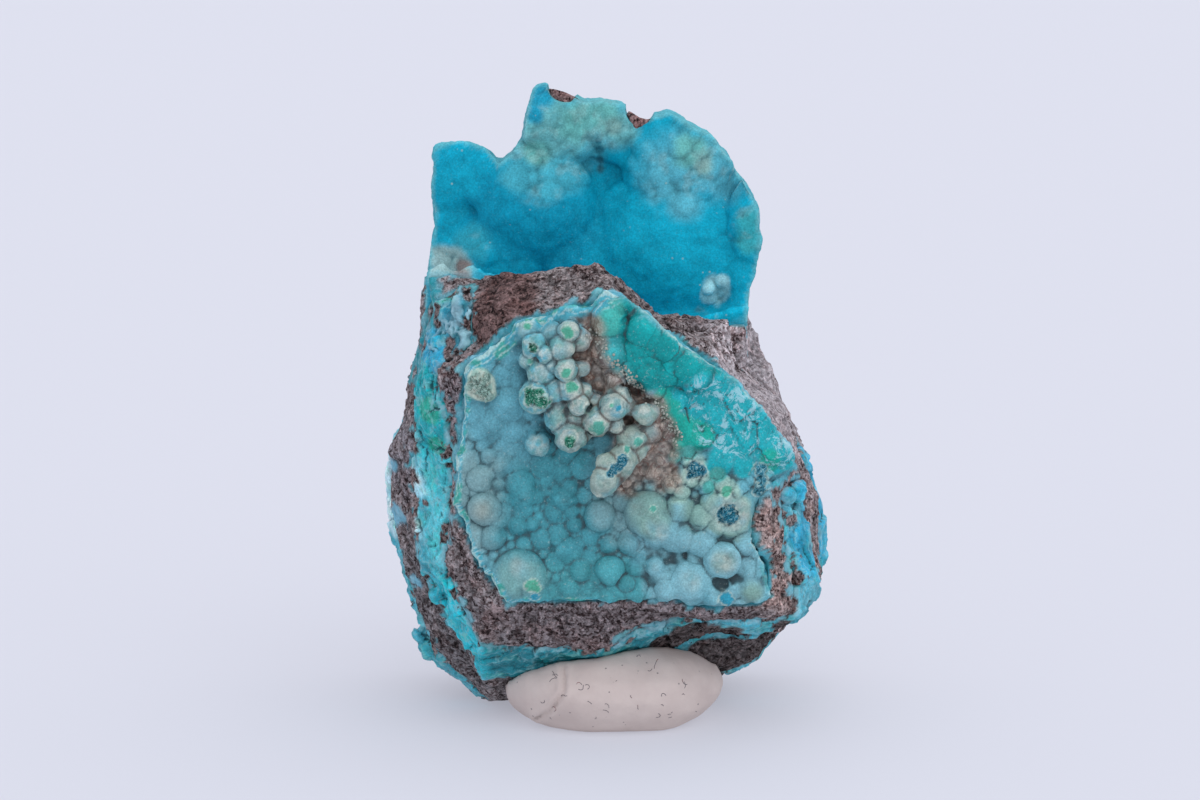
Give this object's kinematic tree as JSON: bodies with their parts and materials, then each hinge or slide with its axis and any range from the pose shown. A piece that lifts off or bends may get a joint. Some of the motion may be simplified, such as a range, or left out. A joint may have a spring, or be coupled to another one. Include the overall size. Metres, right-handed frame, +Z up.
{
  "type": "hemimorphite specimen",
  "caption": "Hand specimen of botryoidal blue-green hemimorphite crusts on broken brown rock, propped on a flat wad of putty for display.",
  "frame": {"origin": "middle of the specimen's outline, on the surface that it stands on", "axes": "+Z up, +X to the right of the show face, +Y from the show face to the back"},
  "size_m": [0.0574, 0.0436, 0.0819],
  "materials": {
    "rock": "rough, grainy broken rock",
    "pale_crust": "matte botryoidal crust",
    "blue_crust": "satin velvety crust",
    "vein_crust": "satin crust",
    "putty": "matte soft putty"
  },
  "bodies": {
    "root": {"rock_matrix": "rock", "front_crust": "pale_crust", "upper_crust": "blue_crust", "middle_vein": "vein_crust", "left_rim_vein": "vein_crust", "right_rim_vein": "vein_crust", "putty_rest": "putty"}
  },
  "joints": []
}
